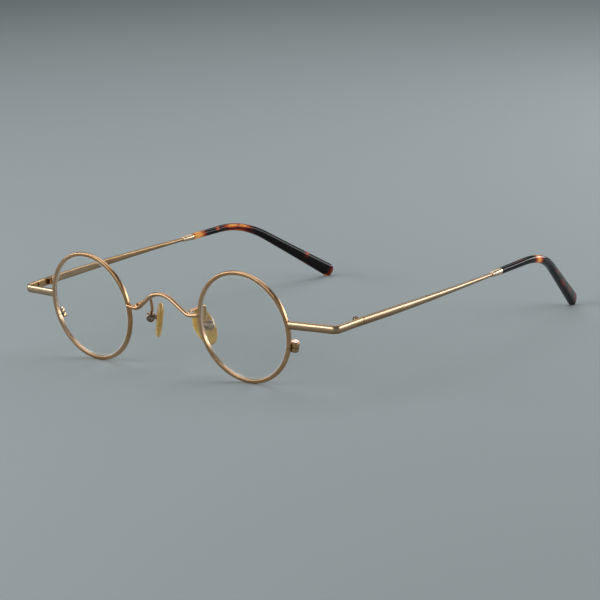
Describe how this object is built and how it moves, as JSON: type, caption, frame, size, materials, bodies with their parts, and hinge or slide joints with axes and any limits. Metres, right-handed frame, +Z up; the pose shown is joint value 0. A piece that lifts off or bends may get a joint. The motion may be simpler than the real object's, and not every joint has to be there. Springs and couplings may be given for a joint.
{
  "type": "eyeglasses frame",
  "caption": "Round-lens metal eyeglasses frame with a W-shaped wire bridge, folding temples, tortoiseshell ear tips and rocking nose pads.",
  "frame": {"origin": "centre of the bounding box on the plane that the frame stands on, with its temples open", "axes": "-Y the way the lenses face, +Y back along the temples, +Z up, +X to the right of someone looking at the front of the lenses"},
  "size_m": [0.1418, 0.1544, 0.0371],
  "materials": {
    "frame_metal": "satin antique gold",
    "hinge_metal": "satin",
    "screw_metal": "polished",
    "pad_box_metal": "satin",
    "pad_soft": "soft, translucent, glossy",
    "tortoiseshell": "polished dark tortoiseshell",
    "demo_lens": "clear, polished"
  },
  "bodies": {
    "front": {"bridge": "frame_metal", "rim_left": "frame_metal", "rim_right": "frame_metal", "lens_left": "demo_lens", "lens_right": "demo_lens", "end_piece_left": "frame_metal", "end_piece_right": "frame_metal", "closing_block_upper_left": "frame_metal", "closing_block_upper_right": "frame_metal", "closing_block_lower_left": "frame_metal", "closing_block_lower_right": "frame_metal", "closing_screw_left": "screw_metal", "closing_screw_right": "screw_metal", "front_hinge_leaf_left": "hinge_metal", "front_hinge_leaf_right": "hinge_metal", "hinge_screw_left": "screw_metal", "hinge_screw_right": "screw_metal", "pad_arm_left": "frame_metal", "pad_arm_right": "frame_metal", "pad_box_left": "pad_box_metal", "pad_box_right": "pad_box_metal", "pad_screw_left": "screw_metal", "pad_screw_right": "screw_metal"},
    "temple_arm_left": {"temple_left": "frame_metal", "temple_hinge_leaf_left": "hinge_metal", "ferrule_left": "frame_metal", "tip_left": "tortoiseshell"},
    "pad_left": {"nose_pad_left": "pad_soft", "pad_core_left": "pad_box_metal"},
    "temple_arm_right": {"temple_right": "frame_metal", "temple_hinge_leaf_right": "hinge_metal", "ferrule_right": "frame_metal", "tip_right": "tortoiseshell"},
    "pad_right": {"nose_pad_right": "pad_soft", "pad_core_right": "pad_box_metal"}
  },
  "joints": [
    {"name": "temple_right_fold", "type": "hinge", "parent": "front", "child": "temple_arm_right", "pos_m": [0.06739, -0.05975, 0.02131], "axis": [0.0463, -0.0641, 0.9969], "range_deg": [0, 86]},
    {"name": "temple_left_fold", "type": "hinge", "parent": "front", "child": "temple_arm_left", "pos_m": [-0.06739, -0.05975, 0.02131], "axis": [0.0463, 0.0641, -0.9969], "range_deg": [0, 90]},
    {"name": "pad_right_rock", "type": "hinge", "parent": "front", "child": "pad_right", "pos_m": [0.013, -0.06773, 0.01592], "axis": [0.6497, 0.7459, 0.147], "range_deg": [-10, 10]},
    {"name": "pad_left_rock", "type": "hinge", "parent": "front", "child": "pad_left", "pos_m": [-0.013, -0.06773, 0.01592], "axis": [0.6497, -0.7459, -0.147], "range_deg": [-10, 10]}
  ]
}
